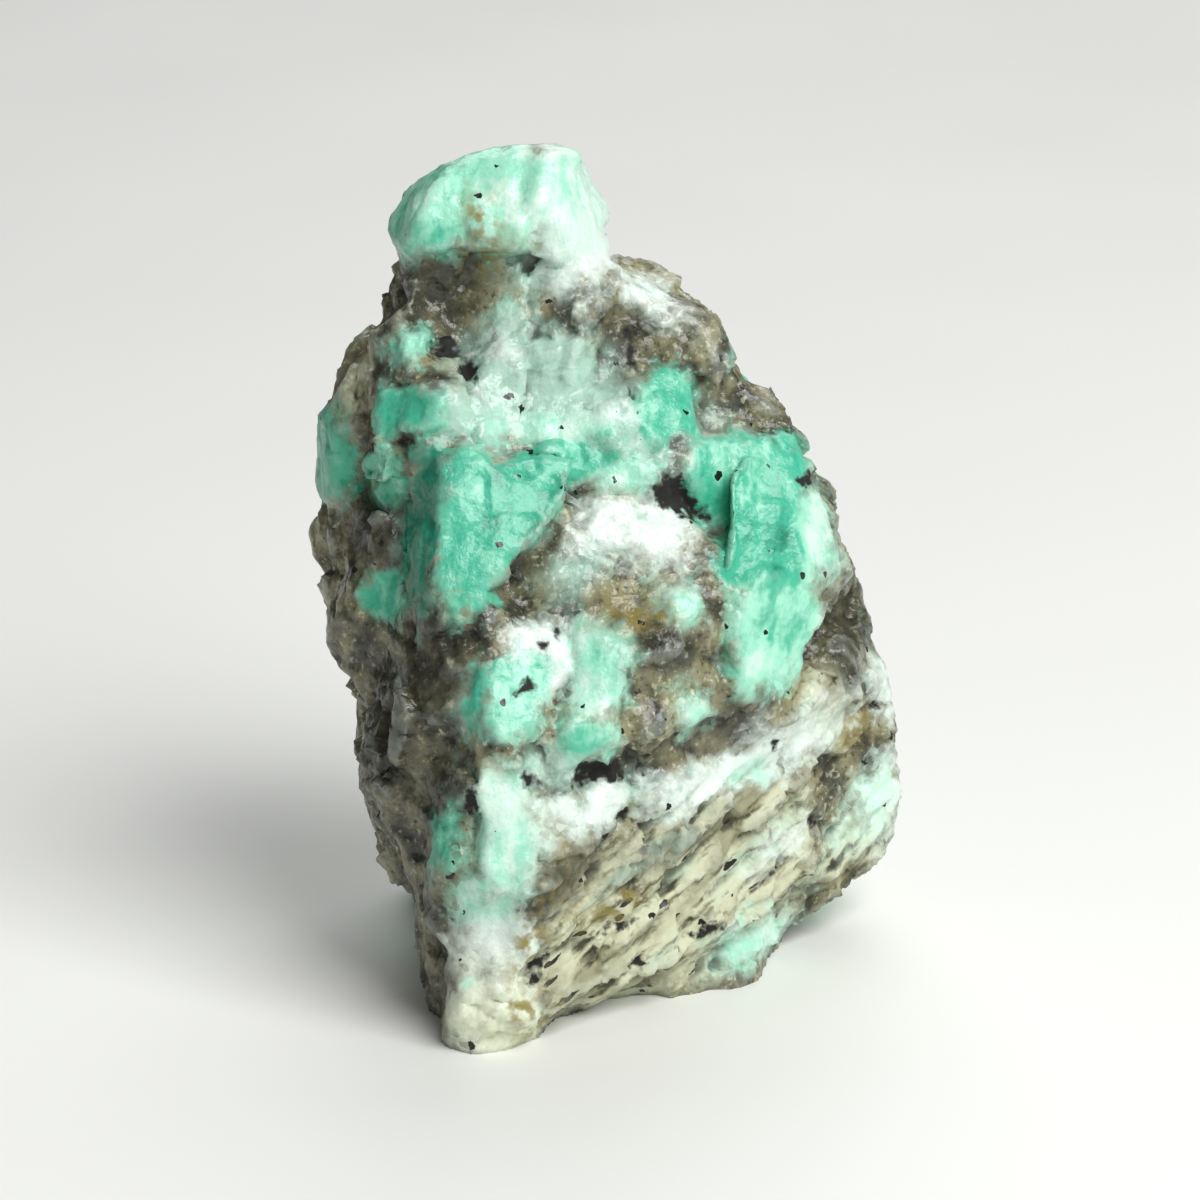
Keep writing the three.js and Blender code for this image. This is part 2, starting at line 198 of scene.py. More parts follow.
FRONT_GRAINS = {
    "green": GREEN_GRAINS,
    "white": WHITE_GRAINS,
    "milky": MILKY_GRAINS,
    "cream": CREAM_GRAINS,
    "smoky": SMOKY_GRAINS_AND_PAINTED_SHADE,
    "rust": RUST_GRAINS,
    "mica": MICA_GRAINS,
}

# The sides that the viewer doesn't see get grains of the same kinds: how many, and their half sizes
HIDDEN_GRAINS = {
    "green": (100, 1.6 * MM, 4.2 * MM),
    "white": (60, 1.4 * MM, 3.6 * MM),
    "milky": (30, 2.0 * MM, 4.0 * MM),
    "cream": (36, 2.0 * MM, 4.5 * MM),
    "smoky": (36, 2.0 * MM, 5.0 * MM),
    "rust": (24, 1.0 * MM, 2.4 * MM),
    "mica": (110, 0.25 * MM, 0.65 * MM),
}

# Their draws: the seed, how tall and deep they are for their width, and how deep a green may be
HIDDEN_SEED = 11
HIDDEN_HEIGHT = (0.6, 1.5)
HIDDEN_GREEN = (0.1, 1.0)
HIDDEN_DEPTH = 1.2

# Hidden grains stay this far off the part of the surface that the viewer sees or nearly sees
HIDDEN_STAYS_OFF = 4 * MM
FRONT_SHARE = 0.02
SIGHT_SLACK = 1.5 * MM

# Grains: how deep a front one reaches for its size and besides that, how square they are, how far
# colours blend from one to the next, and how far seeded noise of two widths moves their outlines
FRONT_DEPTH = 1.4
FRONT_DEPTH_MORE = 1.5
BLOCKY = 2.6
COLOUR_BLEND = 0.5 * MM
BLEND_LIMIT = 30
OUTLINE_NOISE = ((5.0 * MM, 1.2 * MM), (1.7 * MM, 0.35 * MM))
OUTLINE_SEED = 5
NOTHING_NEAR = -20 * MM

# Cleavage: which grains break flat, how wide a broken edge is, how flat the face is, how far it may
# lean and cut, and how little of the surface's own facing it needs
CLEAVED = ("green", "white")
CLEAVAGE_EDGE = 0.5 * MM
CLEAVAGE_SHARE = 0.85
CLEAVAGE_LEAN = 0.04
HIDDEN_LEAN = 0.18
CLEAVAGE_REACH = 0.7 * MM
CLEAVAGE_TURN = 0.6
FEWEST_POINTS = 20

# Half the width of the edge where the relief passes from one mineral to another
RELIEF_EDGES = {"green": 0.4 * MM, "white": 0.6 * MM, "mica": 0.3 * MM}

# Patterns in the minerals: their widths, and how far each moves the edges of the coloured grains
RAGGED_SIZE = 1.8 * MM
GRANULE_SIZE = 0.6 * MM
FRAYED_SIZE = 0.7 * MM
PATCH_SIZE = 6.0 * MM
MOTTLE_SIZE = 1.1 * MM
RAGGED_WANDER = 2.4 * MM
GRANULE_WANDER = 0.5 * MM
FLECK_WANDER = 1.8 * MM
RIM_WANDER = 4.5 * MM
RIM_INSET = 0.6 * MM
GREEN_EDGE = 0.9 * MM
WHITE_EDGE = 0.9 * MM
MICA_EDGE = 0.25 * MM

# Hollows are measured against the surface evened out this many times
SPREAD_PASSES = 20


def linear(hex_colour):
    """Turns an sRGB hex value into the linear colour that shaders use."""
    channels = [int(hex_colour[i : i + 2], 16) / 255 for i in (1, 3, 5)]
    return [c / 12.92 if c <= 0.04045 else ((c + 0.055) / 1.055) ** 2.4 for c in channels]


def add(tree, kind, inputs=None, **settings):
    """Adds a node, sets its settings, and sets or links its inputs by name or number."""
    made = tree.nodes.new(kind)
    for name, value in settings.items():
        setattr(made, name, value)
    for key, value in (inputs or {}).items():
        if isinstance(value, bpy.types.NodeSocket):
            tree.links.new(value, made.inputs[key])
        else:
            made.inputs[key].default_value = value
    return made


def size_property(name, description, default):
    """A length that a user may change."""
    return bpy.props.FloatProperty(
        name=name,
        description=description,
        default=default,
        min=0,
        precision=5,
        unit="LENGTH",
        subtype="DISTANCE",
    )


def colour_property(name, description, hex_colour):
    """A colour that a user may change."""
    return bpy.props.FloatVectorProperty(
        name=name,
        description=description,
        default=linear(hex_colour),
        size=3,
        min=0,
        max=1,
        subtype="COLOR",
    )


class StoneSizes(bpy.types.PropertyGroup):
    """Sizes of the stone's broken surface"""

    spacing: size_property("Surface spacing", "Distance between the points of the surface", 0.31 * MM)
    grain: size_property("Grain size", "Width of the crystal grains that break along planes", 3.6 * MM)
    terrace: size_property("Terrace size", "Width of the flat steps of broken feldspar", 3.2 * MM)
    sugar: size_property("Quartz grain size", "Width of the small grains of the quartz", 1.2 * MM)
    step: size_property("Cleavage step", "Spacing of the steps on broken feldspar", 0.9 * MM)
    layer: size_property("Layer spacing", "Spacing of the layers on the layered face", 1.2 * MM)
    stand_out: size_property("Feldspar step", "How far feldspar stands out from quartz", 0.25 * MM)
    mica_depth: size_property("Mica pit depth", "How deep the pits of black mica are", 0.2 * MM)


class StoneColours(bpy.types.PropertyGroup):
    """Colours of the stone's minerals"""

    teal: colour_property("Teal", "Deepest amazonite", "#23866b")
    turquoise: colour_property("Turquoise", "Deep amazonite", "#48bb99")
    mint: colour_property("Mint", "Amazonite", "#a2e8cb")
    pale: colour_property("Pale mint", "Palest amazonite", "#d6f6e4")
    white: colour_property("White", "Albite", "#e6f4ea")
    ivory: colour_property("Ivory", "Albite stained near the ground", "#eef0cb")
    milky: colour_property("Milky", "Cloudy quartz", "#b2d6c4")
    smoky: colour_property("Smoky", "Smoky quartz", "#918d6c")
    # This colour is also laid as painted shade in the surface's hollows
    smoky_dark_and_shade: colour_property("Dark smoky", "Smoky quartz where it is clear and deep", "#323226")
    cream: colour_property("Cream", "Weathered feldspar", "#d3d5b6")
    olive: colour_property("Olive", "Weathered layers stained by iron", "#7c7a57")
    rust: colour_property("Rust", "Iron stain", "#8f8243")
    mica: colour_property("Mica", "Black mica", "#151510")
    floor: colour_property("Floor", "The studio floor", "#f3f4f0")


def seen_place(surface, across, up):
    """The place on the stone that the viewer sees at a spot of the view, or the nearest one to it."""
    spot = VIEW_TARGET + VIEW_RIGHT * (across * MM) + VIEW_UP * (up * MM)
    place, *_ = surface.ray_cast(VIEW_PLACE, (spot - VIEW_PLACE).normalized())
    if place is None:
        place, *_ = surface.find_nearest(spot)
    return np.array(place)


def leaning_axes(right, up, lean):
    """Two axes turned in their own plane by an angle."""
    right, up = np.array(right), np.array(up)
    turned_right = right * math.cos(lean) + up * math.sin(lean)
    turned_up = up * math.cos(lean) - right * math.sin(lean)
    return turned_right, turned_up


def front_grains(surface, kind):
    """The grains of a kind that show from the front: place, axes, half sizes and depth of colour."""
    grains = []
    for across, up, half_width, half_height, lean, *depth in FRONT_GRAINS[kind]:
        depth_half = FRONT_DEPTH * max(half_width, half_height) + FRONT_DEPTH_MORE
        half = np.array((half_width, half_height, depth_half)) * MM
        axes = np.array((*leaning_axes(VIEW_RIGHT, VIEW_UP, math.radians(lean)), VIEW_AWAY))
        grains.append((seen_place(surface, across, up), axes, half, depth[0] if depth else 0.0))
    return grains


def hidden_grains(points, normals, kind, random):
    """Seeded grains of a kind all over the stone, for the sides that the viewer doesn't see."""
    count, smallest, largest = HIDDEN_GRAINS[kind]
    grains = []
    for i in random.integers(len(points), size=count):
        normal = Vector(normals[i])
        half_width = random.uniform(smallest, largest)
        half_height = half_width * random.uniform(*HIDDEN_HEIGHT)
        right = normal.orthogonal().normalized()
        axes = np.array((*leaning_axes(right, normal.cross(right), random.uniform(0, math.pi)), normal))
        half = np.array((half_width, half_height, HIDDEN_DEPTH * max(half_width, half_height)))
        grains.append((points[i], axes, half, random.uniform(*HIDDEN_GREEN)))
    return grains


def seen_points(surface, points):
    """1 for each point that the viewer sees, 0 for the others."""
    seen = np.empty(len(points))
    for i, point in enumerate(points):
        sight = Vector(point) - VIEW_PLACE
        *_, reach = surface.ray_cast(VIEW_PLACE, sight.normalized())
        seen[i] = reach is None or reach > sight.length - SIGHT_SLACK
    return seen


def wandering(points):
    """Points moved about by noise, so that grains placed by them get natural outlines."""
    noise.seed_set(OUTLINE_SEED)
    moved = np.empty_like(points)
    for i, point in enumerate(points):
        place = Vector(point)
        shifted = place
        for width, reach in OUTLINE_NOISE:
            shifted = shifted + noise.noise_vector(place / width) * reach
        moved[i] = shifted
    return moved


def grain_fields(points, grains):
    """How far inside the nearest grain each point is, in metres, and the depth of colour there."""
    inside = np.full(len(points), NOTHING_NEAR)
    weight_sum = np.full(len(points), 1e-9)
    depth_sum = np.zeros(len(points))
    for place, axes, half, depth in grains:
        across = np.abs((points - place) @ axes.T) / half
        share = (across**BLOCKY).sum(axis=1) ** (1 / BLOCKY)
        within = (1 - share) * half[:2].min()
        inside = np.maximum(inside, within)
        weight = np.exp(np.clip(within / COLOUR_BLEND, -BLEND_LIMIT, BLEND_LIMIT))
        weight_sum += weight
        depth_sum += weight * depth
    return inside, depth_sum / weight_sum


def cleave(points, normals, wandered, grains, lean, random):
    """Breaks each grain along a plane that may lean a little from the surface around it."""
    for place, axes, half, _ in grains:
        within, _ = grain_fields(wandered, [(place, axes, half, 0.0)])
        inside = within > 0
        if inside.sum() < FEWEST_POINTS:
            continue
        way = normals[inside].mean(axis=0) + random.uniform(-lean, lean, 3)
        way /= np.linalg.norm(way)
        facing = np.clip((normals[inside] @ way - CLEAVAGE_TURN) / (1 - CLEAVAGE_TURN), 0, 1)
        weight = np.clip(within[inside] / CLEAVAGE_EDGE, 0, 1) * np.sqrt(facing)
        middle = np.average(points[inside], axis=0, weights=facing)
        height = (points[inside] - middle) @ way
        move = np.clip(-CLEAVAGE_SHARE * height, -CLEAVAGE_REACH, CLEAVAGE_REACH)
        points[inside] += np.outer(move * weight, way)


def surface_point(points, grain):
    """The number of the point that a grain sits on."""
    return np.argmin(np.linalg.norm(points - grain[0], axis=1))


def store(mesh, name, values):
    """Keeps one number for each point of a mesh under a name."""
    attribute = mesh.attributes.new(name, "FLOAT", "POINT")
    attribute.data.foreach_set("value", np.asarray(values, np.float32))


def point_arrays(mesh):
    """A mesh's points and normals."""
    points = np.empty(len(mesh.vertices) * 3)
    normals = np.empty(len(mesh.vertices) * 3)
    mesh.vertices.foreach_get("co", points)
    mesh.vertex_normals.foreach_get("vector", normals)
    return points.reshape(-1, 3), normals.reshape(-1, 3)


def spread(mesh, values):
    """Values of a mesh's points evened out over the points around them, column by column."""
    ends = np.empty(len(mesh.edges) * 2, np.int32)
    mesh.edges.foreach_get("vertices", ends)
    ends = ends.reshape(-1, 2)
    here, there = np.concatenate((ends, ends[:, ::-1])).T
    neighbours = np.bincount(here)
    columns = values.T
    for _ in range(SPREAD_PASSES):
        columns = np.array([np.bincount(here, column[there]) for column in columns]) / neighbours
    return columns.T


def hollows(mesh):
    """How far each point lies below the surface around it, in metres."""
    points, normals = point_arrays(mesh)
    return ((spread(mesh, points) - points) * normals).sum(axis=1)


def lay_minerals(mesh):
    """Stores where each mineral is, in metres inside its grains, and where the layered face is, and
    breaks the feldspar grains along their cleavage."""
    points, normals = point_arrays(mesh)
    surface = BVHTree.FromPolygons(points.tolist(), [polygon.vertices[:] for polygon in mesh.polygons])
    wandered = wandering(points)
    random = np.random.default_rng(HIDDEN_SEED)
    near_front = spread(mesh, seen_points(surface, points)[:, None]) > FRONT_SHARE
    front_share = spread(mesh, near_front)[:, 0]
    off_front = np.minimum(2 * front_share, 1) * HIDDEN_STAYS_OFF
    broken = points.copy()
    for kind in FRONT_GRAINS:
        front_ones = front_grains(surface, kind)
        hidden_ones = hidden_grains(points, normals, kind, random)
        front, front_depth = grain_fields(wandered, front_ones)
        hidden, hidden_depth = grain_fields(wandered, hidden_ones)
        hidden -= off_front
        store(mesh, kind, np.maximum(front, hidden))
        if kind == "green":
            store(mesh, "depth", np.where(front > hidden, front_depth, hidden_depth))
        if kind in CLEAVED:
            out_of_sight = [grain for grain in hidden_ones if not off_front[surface_point(points, grain)]]
            cleave(broken, normals, wandered, front_ones, CLEAVAGE_LEAN, random)
            cleave(broken, normals, wandered, out_of_sight, HIDDEN_LEAN, random)
    facing = np.clip((normals @ np.array(LAYERED_FACE) - LAYERED_TURN) / LAYERED_TURN_SPAN, 0, 1)
    low = np.clip((LAYERED_TOP - points[:, 2]) / LAYERED_FADE, 0, 1)
    store(mesh, "layered", facing * low)
    near_table = points[:, 2] < CLEAVAGE_EDGE
    broken[near_table] = points[near_table]
    mesh.vertices.foreach_set("co", broken.ravel())
    mesh.update()


def even_skin(node, spacing):
    """A closed copy of a solid with evenly spaced points, its flat underside kept at the table."""
    mesh = node.data.copy()
    skin = bpy.data.objects.new("skin", mesh)
    bpy.context.scene.collection.objects.link(skin)
    weld = skin.modifiers.new("weld", "WELD")
    weld.merge_threshold = 0.001 * MM
    remesh = skin.modifiers.new("even", "REMESH")
    remesh.mode = "VOXEL"
    remesh.voxel_size = spacing
    soften = skin.modifiers.new("soften", "SMOOTH")
    soften.factor = 0.5
    soften.iterations = 1
    depsgraph = bpy.context.evaluated_depsgraph_get()
    even = bpy.data.meshes.new_from_object(skin.evaluated_get(depsgraph))
    bpy.data.objects.remove(skin)
    bpy.data.meshes.remove(mesh)
    points, _ = point_arrays(even)
    on_table = points[:, 2] < spacing
    points[on_table, 2] = 0
    even.vertices.foreach_set("co", points.ravel())
    even.update()
    return even


def tilted_cells(tree, place, cell_size):
    """Grains that each break along a plane of their own: the height of the break, in metres."""
    scale = add(tree, "ShaderNodeMath", {0: 1.0, 1: cell_size}, operation="DIVIDE").outputs[0]
    cells = add(tree, "ShaderNodeTexVoronoi", {"Vector": place, "Scale": scale})
    away = add(tree, "ShaderNodeVectorMath", {0: place, 1: cells.outputs["Position"]}, operation="SUBTRACT")
    draw = cells.outputs["Color"]
    lean = add(tree, "ShaderNodeVectorMath", {0: draw, 1: (0.5, 0.5, 0.5)}, operation="SUBTRACT")
    both = {0: away.outputs[0], 1: lean.outputs[0]}
    return add(tree, "ShaderNodeVectorMath", both, operation="DOT_PRODUCT").outputs["Value"]


def stretched(tree, place, along, stretch):
    """The place squeezed along a direction, so that a pattern read there is drawn out along it."""
    run = add(tree, "ShaderNodeVectorMath", {0: place, 1: along}, operation="DOT_PRODUCT").outputs["Value"]
    excess = add(tree, "ShaderNodeMath", {0: run, 1: 1 / stretch - 1}, operation="MULTIPLY").outputs[0]
    shift = add(tree, "ShaderNodeVectorMath", {0: along, "Scale": excess}, operation="SCALE").outputs[0]
    return add(tree, "ShaderNodeVectorMath", {0: place, 1: shift}, operation="ADD").outputs[0]


def signed_noise(tree, place, size, detail=2.0):
    """Noise of a real size around zero."""
    scale = add(tree, "ShaderNodeMath", {0: 1.0, 1: size}, operation="DIVIDE").outputs[0]
    raw = add(tree, "ShaderNodeTexNoise", {"Vector": place, "Scale": scale, "Detail": detail}).outputs[0]
    return add(tree, "ShaderNodeMath", {0: raw, 1: 0.5}, operation="SUBTRACT").outputs[0]


def laid_over(tree, base, coats):
    """Lays coats of colour over a base one after the other. Each coat gives the most it covers, its
    colour, and one or more values with the limits between which it comes in."""
    for most, colour, *limits in coats:
        share = most
        for value, start, end in limits:
            span = {"Value": value, "From Min": start, "From Max": end, "To Max": share}
            share = add(tree, "ShaderNodeMapRange", span, interpolation_type="SMOOTHSTEP").outputs[0]
        first, second = (c if isinstance(c, bpy.types.NodeSocket) else (*c, 1.0) for c in (base, colour))
        base = add(tree, "ShaderNodeMix", {0: share, 6: first, 7: second}, data_type="RGBA").outputs[2]
    return base


def dots(tree, place, spacing, fewest, largest):
    """Dots strewn at a spacing: 1 in a dot, 0 elsewhere. Cells with a draw below fewest have none."""
    cells = add(tree, "ShaderNodeTexVoronoi", {"Vector": place, "Scale": 1 / spacing})
    draw = add(tree, "ShaderNodeSeparateColor", {0: cells.outputs["Color"]}).outputs[1]
    span = {"Value": draw, "From Min": fewest, "To Max": largest}
    reach = add(tree, "ShaderNodeMapRange", span).outputs[0]
    distance = cells.outputs["Distance"]
    return add(tree, "ShaderNodeMath", {0: distance, 1: reach}, operation="LESS_THAN").outputs[0]


def relief_tree(material):
    """Geometry nodes that break the surface: grains, cleavage steps, layers, quartz sugar and mica pits."""
    tree = bpy.data.node_groups.new("broken_stone_relief", "GeometryNodeTree")
    tree.interface.new_socket("Geometry", in_out="OUTPUT", socket_type="NodeSocketGeometry")
    tree.interface.new_socket("Geometry", in_out="INPUT", socket_type="NodeSocketGeometry")
    for name in ("grain", "terrace", "sugar", "step", "layer", "stand_out", "mica_depth"):
        tree.interface.new_socket(name, in_out="INPUT", socket_type="NodeSocketFloat")
    given = add(tree, "NodeGroupInput").outputs
    place = add(tree, "GeometryNodeInputPosition").outputs[0]
    normal = add(tree, "GeometryNodeInputNormal").outputs[0]
    field = {
        name: add(tree, "GeometryNodeInputNamedAttribute", {"Name": name}, data_type="FLOAT").outputs[0]
        for name in (*FRONT_GRAINS, "layered")
    }
    share = {}
    for kind, edge in RELIEF_EDGES.items():
        span = {"Value": field[kind], "From Min": -edge, "From Max": edge}
        share[kind] = add(tree, "ShaderNodeMapRange", span, interpolation_type="SMOOTHSTEP").outputs[0]
    both = {0: share["green"], 1: share["white"]}
    feldspar = add(tree, "ShaderNodeMath", both, operation="MAXIMUM").outputs[0]
    quartz = add(tree, "ShaderNodeMath", {0: 1.0, 1: feldspar}, operation="SUBTRACT").outputs[0]

    # Each term is a height in metres, a share of the surface it acts on, and a strength
    steps = signed_noise(tree, stretched(tree, place, CLEAVAGE_RUN, 6.0), given["step"])
    terrace = signed_noise(tree, place, given["terrace"], 1.0)
    terrace = add(tree, "ShaderNodeMath", {0: terrace, 1: 0.1}, operation="SNAP").outputs[0]
    layers = signed_noise(tree, stretched(tree, place, tuple(LAYER_RUN), 6.0), given["layer"], 3.0)
    lumps = signed_noise(tree, place, given["sugar"], 4.0)
    crumbs = signed_noise(tree, place, given["step"], 4.0)
    terms = (
        (tilted_cells(tree, place, given["grain"]), quartz, 0.35),
        (tilted_cells(tree, place, given["terrace"]), feldspar, 0.07),
        (terrace, feldspar, 0.8 * MM),
        (steps, share["green"], 0.22 * MM),
        (lumps, quartz, 0.5 * MM),
        (tilted_cells(tree, place, given["sugar"]), quartz, 0.22),
        (crumbs, quartz, 0.16 * MM),
        (crumbs, feldspar, 0.07 * MM),
        (layers, field["layered"], 2.4 * MM),
        (feldspar, given["stand_out"], 1.0),
        (share["mica"], given["mica_depth"], -1.0),
    )
    height = 0.0
    for term, ground, strength in terms:
        shared = add(tree, "ShaderNodeMath", {0: term, 1: ground}, operation="MULTIPLY").outputs[0]
        height = add(
            tree, "ShaderNodeMath", {0: shared, 1: strength, 2: height}, operation="MULTIPLY_ADD"
        ).outputs[0]

    # The flat underside stays as it is
    up = add(tree, "ShaderNodeSeparateXYZ", {0: place}).outputs["Z"]
    span = {"Value": up, "From Min": 0.2 * MM, "From Max": 1.4 * MM}
    free = add(tree, "ShaderNodeMapRange", span).outputs[0]
    height = add(tree, "ShaderNodeMath", {0: height, 1: free}, operation="MULTIPLY").outputs[0]
    offset = add(tree, "ShaderNodeVectorMath", {0: normal, "Scale": height}, operation="SCALE").outputs[0]
    shift = {"Geometry": given["Geometry"], "Offset": offset}
    moved = add(tree, "GeometryNodeSetPosition", shift).outputs[0]
    whole = add(tree, "GeometryNodeRealizeInstances", {"Geometry": moved}).outputs[0]
    dressed = add(tree, "GeometryNodeSetMaterial", {"Geometry": whole, "Material": material}).outputs[0]
    add(tree, "NodeGroupOutput", {"Geometry": dressed})
    return tree


def quartz_colour(tree, coordinate, colours):
    """Smoky quartz: cloudy patches with small pale and dark grains."""
    cloud = signed_noise(tree, coordinate, 2.4 * MM, 5.0)
    speckle = signed_noise(tree, coordinate, 0.45 * MM, 3.0)
    coats = (
        (1.0, colours.smoky, (cloud, -0.16, 0.14)),
        (0.55, colours.cream, (speckle, 0.07, 0.2)),
        (0.75, colours.smoky_dark_and_shade, (speckle, -0.06, -0.2)),
    )
    return laid_over(tree, colours.smoky_dark_and_shade, coats)


def layer_colour(tree, coordinate, colours):
    """Weathered layers: cream with olive and dark streaks and black dashes drawn out along them."""
    place = stretched(tree, coordinate, tuple(LAYER_RUN), 4.0)
    broad = signed_noise(tree, place, 2.6 * MM, 2.0)
    fine = signed_noise(tree, place, 0.9 * MM, 5.0)
    coats = (
        (0.6, colours.milky, (broad, 0.0, 0.2)),
        (0.7, colours.olive, (broad, 0.0, -0.18)),
        (0.8, colours.olive, (fine, 0.0, 0.12)),
        (0.95, colours.smoky_dark_and_shade, (fine, 0.08, 0.19)),
        (1.0, colours.mica, (dots(tree, place, 1.1 * MM, 0.35, 0.27), 0.0, 1.0)),
    )
    return laid_over(tree, colours.cream, coats)


def green_colour(tree, coordinate, depth, colours):
    """Amazonite: from pale mint to turquoise, cloudy, with fine pale streaks along the cleavage."""
    patterns = (
        (signed_noise(tree, stretched(tree, coordinate, CLEAVAGE_RUN, 5.0), 0.8 * MM, 4.0), 0.9),
        (signed_noise(tree, coordinate, 3.0 * MM, 3.0), 1.5),
        (signed_noise(tree, coordinate, 0.5 * MM, 3.0), 0.6),
    )
    for pattern, strength in patterns:
        depth = add(
            tree, "ShaderNodeMath", {0: pattern, 1: strength, 2: depth}, operation="MULTIPLY_ADD"
        ).outputs[0]
    coats = (
        (1.0, colours.mint, (depth, 0.0, 0.45)),
        (1.0, colours.turquoise, (depth, 0.45, 1.0)),
        (1.0, colours.teal, (depth, 1.0, 1.6)),
    )
    return laid_over(tree, colours.pale, coats)


def amazonite_material(colours):
    """Amazonite pegmatite, freshly broken and wet: green cleavage faces with pale streaks, soft white
    albite, glassy grey quartz that glints grain by grain, black mica flecks and dull cream layers."""
    material = bpy.data.materials.new("amazonite_pegmatite_broken")
    material.use_nodes = True
    tree = material.node_tree
    tree.nodes.clear()
    coordinate = add(tree, "ShaderNodeTexCoord").outputs["Object"]
    field = {
        name: add(tree, "ShaderNodeAttribute", attribute_name=name).outputs["Fac"]
        for name in (*FRONT_GRAINS, "depth", "layered", "hollow")
    }

    # Ragged grain edges: noise and a draw for each granule, added to how far inside a grain a point is
    ragged = signed_noise(tree, coordinate, RAGGED_SIZE, 4.0)
    cells = {"Vector": coordinate, "Scale": 1 / GRANULE_SIZE}
    granules = add(tree, "ShaderNodeTexVoronoi", cells).outputs["Color"]
    granule = add(tree, "ShaderNodeSeparateColor", {0: granules}).outputs[0]
    granule = add(tree, "ShaderNodeMath", {0: granule, 1: 0.5}, operation="SUBTRACT").outputs[0]
    wander = add(tree, "ShaderNodeMath", {0: ragged, 1: RAGGED_WANDER}, operation="MULTIPLY").outputs[0]
    moved = {0: granule, 1: GRANULE_WANDER, 2: wander}
    wander = add(tree, "ShaderNodeMath", moved, operation="MULTIPLY_ADD").outputs[0]
    frayed = signed_noise(tree, coordinate, FRAYED_SIZE, 2.0)
    fleck_wander = add(tree, "ShaderNodeMath", {0: frayed, 1: FLECK_WANDER}, operation="MULTIPLY").outputs[0]
    patches = signed_noise(tree, coordinate, PATCH_SIZE, 1.0)
    moved = {0: patches, 1: RIM_WANDER, 2: wander}
    rim_wander = add(tree, "ShaderNodeMath", moved, operation="MULTIPLY_ADD").outputs[0]
    rim_wander = add(tree, "ShaderNodeMath", {0: rim_wander, 1: RIM_INSET}, operation="SUBTRACT").outputs[0]

    wanders = {kind: wander for kind in FRONT_GRAINS} | {"mica": fleck_wander}
    inside = {
        kind: add(tree, "ShaderNodeMath", {0: field[kind], 1: moved}, operation="ADD").outputs[0]
        for kind, moved in wanders.items()
    }
    rim = add(tree, "ShaderNodeMath", {0: field["green"], 1: rim_wander}, operation="ADD").outputs[0]

    # Deep green grains have crisper edges than pale ones
    crisp = add(tree, "ShaderNodeMath", {0: field["depth"], 1: 0.6}, operation="ADD").outputs[0]
    sharpened = {0: inside["green"], 1: crisp}
    inside["green"] = add(tree, "ShaderNodeMath", sharpened, operation="MULTIPLY").outputs[0]

    # Minerals over the quartz, each where its grains are, with painted shade in the hollows of the surface
    # and a painted highlight on its raised points
    mottle = signed_noise(tree, coordinate, MOTTLE_SIZE, 4.0)
    milky = laid_over(tree, colours.milky, ((0.7, colours.white, (mottle, 0.02, 0.2)),))
    white = laid_over(tree, colours.white, ((0.7, colours.milky, (mottle, -0.04, -0.2)),))
    bend = add(tree, "ShaderNodeTexNoise", {"Vector": coordinate, "Scale": 1 / (0.6 * MM)}).outputs["Color"]
    bend = add(tree, "ShaderNodeVectorMath", {0: bend, "Scale": 0.9 * MM}, operation="SCALE").outputs[0]
    bent = add(tree, "ShaderNodeVectorMath", {0: coordinate, 1: bend}, operation="ADD").outputs[0]
    up = add(tree, "ShaderNodeSeparateXYZ", {0: coordinate}).outputs["Z"]
    layers = layer_colour(tree, coordinate, colours)
    greens = green_colour(tree, coordinate, field["depth"], colours)
    coats = (
        (1.0, milky, (inside["milky"], -1.6 * MM, 1.6 * MM)),
        (1.0, layers, (inside["cream"], -1.0 * MM, 1.0 * MM)),
        # Dark smoky quartz where its grains are; on the left flank and beside the prow it is partly painted
        # shade
        (0.85, colours.smoky_dark_and_shade, (inside["smoky"], -1.6 * MM, 1.6 * MM), (mottle, 0.25, 0.05)),
        # Painted shade: dark smoky colour in the shallow hollows of the surface
        (0.6, colours.smoky_dark_and_shade, (field["hollow"], 0.08 * MM, 0.45 * MM)),
        (1.0, white, (inside["white"], -WHITE_EDGE, WHITE_EDGE)),
        (0.75, colours.ivory, (inside["white"], -WHITE_EDGE, WHITE_EDGE), (up, 9 * MM, 2 * MM)),
        (0.9, milky, (rim, -1.4 * MM, 1.4 * MM)),
        (1.0, greens, (inside["green"], -GREEN_EDGE, GREEN_EDGE)),
        (1.0, colours.rust, (inside["rust"], -1.2 * MM, 1.2 * MM), (mottle, -0.1, 0.1)),
        # More painted shade in the deeper hollows
        (0.5, colours.smoky_dark_and_shade, (field["hollow"], 0.15 * MM, 0.6 * MM)),
        # Painted highlight: a little white on raised points of the surface
        (0.15, colours.white, (field["hollow"], -0.1 * MM, -0.4 * MM)),
        (1.0, colours.mica, (dots(tree, bent, 1.7 * MM, 0.5, 0.18), 0.0, 1.0)),
        (1.0, colours.mica, (inside["mica"], -MICA_EDGE, MICA_EDGE)),
    )
    colour = laid_over(tree, quartz_colour(tree, coordinate, colours), coats)

    # Gloss: fresh cleavage and quartz shine, weathered layers and mica are dull
    span = {"From Min": -MICA_EDGE, "From Max": MICA_EDGE, "To Min": field["layered"]}
    dull = add(tree, "ShaderNodeMapRange", {"Value": inside["mica"], **span}).outputs[0]
    rough = add(tree, "ShaderNodeMapRange", {"Value": dull, "To Min": 0.3, "To Max": 0.75}).outputs[0]

